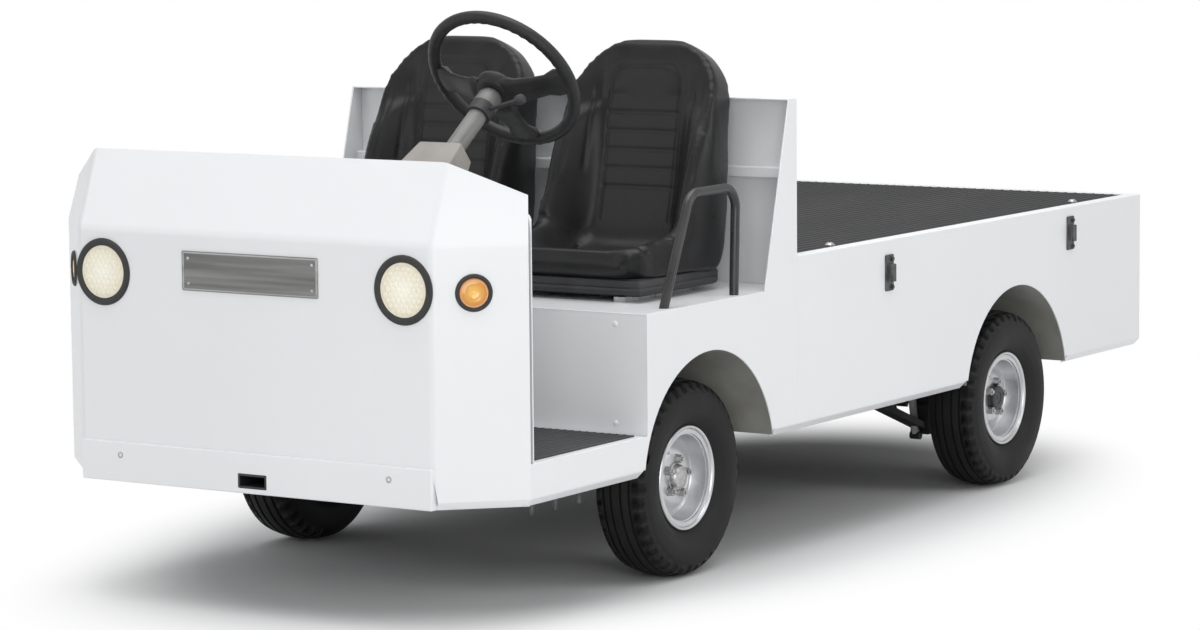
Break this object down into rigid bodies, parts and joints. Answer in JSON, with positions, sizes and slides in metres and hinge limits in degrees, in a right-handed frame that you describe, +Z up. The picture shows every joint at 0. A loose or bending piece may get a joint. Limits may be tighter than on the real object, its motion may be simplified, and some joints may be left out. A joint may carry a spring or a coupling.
{
  "type": "electric flat-bed burden carrier",
  "caption": "Low electric utility vehicle with a folded sheet-metal cowl, bucket seats over the front axle, a steering wheel on a raked column and a flat load deck.",
  "frame": {"origin": "on the ground under the middle of the overall box", "axes": "+X forward, +Y to the vehicle's left, +Z up"},
  "size_m": [3.23, 1.302, 1.3232],
  "materials": {
    "chassis_paint": "satin black chassis paint",
    "white_paint": "semi-gloss white powder coat",
    "liner_paint": "grey-white paint, dusty",
    "motor_case": "satin black motor case",
    "battery_case": "moulded battery case",
    "plate_metal": "brushed along its length",
    "lamp_rubber": "moulded rubber grommet",
    "lamp_white": "clear lens over a warm reflector",
    "lamp_amber": "amber lens",
    "lamp_red": "red lens",
    "mat_rubber": "ribbed rubber mat",
    "deck_surface": "charcoal ribbed deck covering",
    "seat_vinyl": "grained black vinyl",
    "rail_tube": "dark grey paint",
    "hook_metal": "black plated steel",
    "pedal_metal": "black paint, rubber-faced pad",
    "column_paint": "grey paint",
    "wheel_grip": "grained black moulding",
    "forged_steel": "black forged steel",
    "rim_silver": "silver paint on pressed steel",
    "tyre_rubber": "matt black rubber"
  },
  "bodies": {
    "chassis": {"frame_rails": "chassis_paint", "cross_members": "chassis_paint", "leaf_springs": "chassis_paint", "front_axle": "chassis_paint", "rear_axle": "chassis_paint", "deck_beams": "chassis_paint", "deck_posts": "chassis_paint", "tow_receiver": "chassis_paint", "steering_gear": "chassis_paint", "seat_slides": "chassis_paint", "front_panel": "white_paint", "cowl_corners": "white_paint", "dash_panel": "white_paint", "front_bumper": "white_paint", "floor_plate": "white_paint", "cab_sides": "white_paint", "deck_sides": "white_paint", "rear_panel": "white_paint", "seat_base_front": "white_paint", "seat_base_cover": "white_paint", "headboard": "white_paint", "wheel_wells": "liner_paint", "drive_motor": "motor_case", "battery_pack": "battery_case", "name_plate": "plate_metal", "lamp_bezels": "lamp_rubber", "headlamp_lenses": "lamp_white", "marker_lenses": "lamp_amber", "tail_lenses": "lamp_red", "floor_mat": "mat_rubber", "deck_plate": "deck_surface", "seat_cushions": "seat_vinyl", "seat_backs": "seat_vinyl", "hip_rails": "rail_tube", "side_hooks": "hook_metal", "pedals": "pedal_metal", "steering_column": "column_paint", "column_shroud": "column_paint"},
    "knuckle_left_body": {"knuckle_left": "forged_steel"},
    "knuckle_right_body": {"knuckle_right": "forged_steel"},
    "tie_rod_body": {"tie_rod": "forged_steel"},
    "drag_link_body": {"drag_link": "forged_steel"},
    "pitman_body": {"pitman_arm": "forged_steel"},
    "steering_wheel_body": {"steering_wheel": "wheel_grip"},
    "wheel_front_left": {"rim_front_left": "rim_silver", "tyre_front_left": "tyre_rubber"},
    "wheel_front_right": {"rim_front_right": "rim_silver", "tyre_front_right": "tyre_rubber"},
    "wheel_rear_left": {"rim_rear_left": "rim_silver", "tyre_rear_left": "tyre_rubber"},
    "wheel_rear_right": {"rim_rear_right": "rim_silver", "tyre_rear_right": "tyre_rubber"}
  },
  "joints": [
    {"name": "steer", "type": "hinge", "parent": "chassis", "child": "knuckle_left_body", "pos_m": [0.707, 0.42, 0.231], "axis": [0, 0, 1], "range_deg": [-30, 30]},
    {"name": "steer_right", "type": "hinge", "parent": "chassis", "child": "knuckle_right_body", "pos_m": [0.707, -0.42, 0.231], "axis": [0, 0, 1], "range_deg": [-30, 30]},
    {"name": "tie_rod_pivot", "type": "hinge", "parent": "knuckle_left_body", "child": "tie_rod_body", "pos_m": [0.577, 0.42, 0.198], "axis": [0, 0, 1], "range_deg": [-30, 30]},
    {"name": "pitman_swing", "type": "hinge", "parent": "chassis", "child": "pitman_body", "pos_m": [1.5, 0.42, 0.308], "axis": [0, 0, 1], "range_deg": [-30, 30]},
    {"name": "drag_link_pivot", "type": "hinge", "parent": "pitman_body", "child": "drag_link_body", "pos_m": [1.5, 0.31, 0.308], "axis": [0, 0, 1], "range_deg": [-30, 30]},
    {"name": "steering_wheel_turn", "type": "hinge", "parent": "chassis", "child": "steering_wheel_body", "pos_m": [1.033, 0.29, 1.167], "axis": [-0.809, 0, 0.5878], "range_deg": [-420, 420]},
    {"name": "front_left_spin", "type": "hinge", "parent": "knuckle_left_body", "child": "wheel_front_left", "pos_m": [0.707, 0.517, 0.231], "axis": [0, 1, 0], "continuous": true},
    {"name": "front_right_spin", "type": "hinge", "parent": "knuckle_right_body", "child": "wheel_front_right", "pos_m": [0.707, -0.517, 0.231], "axis": [0, 1, 0], "continuous": true},
    {"name": "rear_left_spin", "type": "hinge", "parent": "chassis", "child": "wheel_rear_left", "pos_m": [-0.86, 0.544, 0.231], "axis": [0, 1, 0], "continuous": true},
    {"name": "rear_right_spin", "type": "hinge", "parent": "chassis", "child": "wheel_rear_right", "pos_m": [-0.86, -0.544, 0.231], "axis": [0, 1, 0], "continuous": true}
  ],
  "couplings": [
    {"joint": "steer_right", "follows": "steer", "ratio": 1},
    {"joint": "tie_rod_pivot", "follows": "steer", "ratio": -1},
    {"joint": "pitman_swing", "follows": "steer", "ratio": 1},
    {"joint": "drag_link_pivot", "follows": "steer", "ratio": -1},
    {"joint": "steering_wheel_turn", "follows": "steer", "ratio": 14}
  ]
}
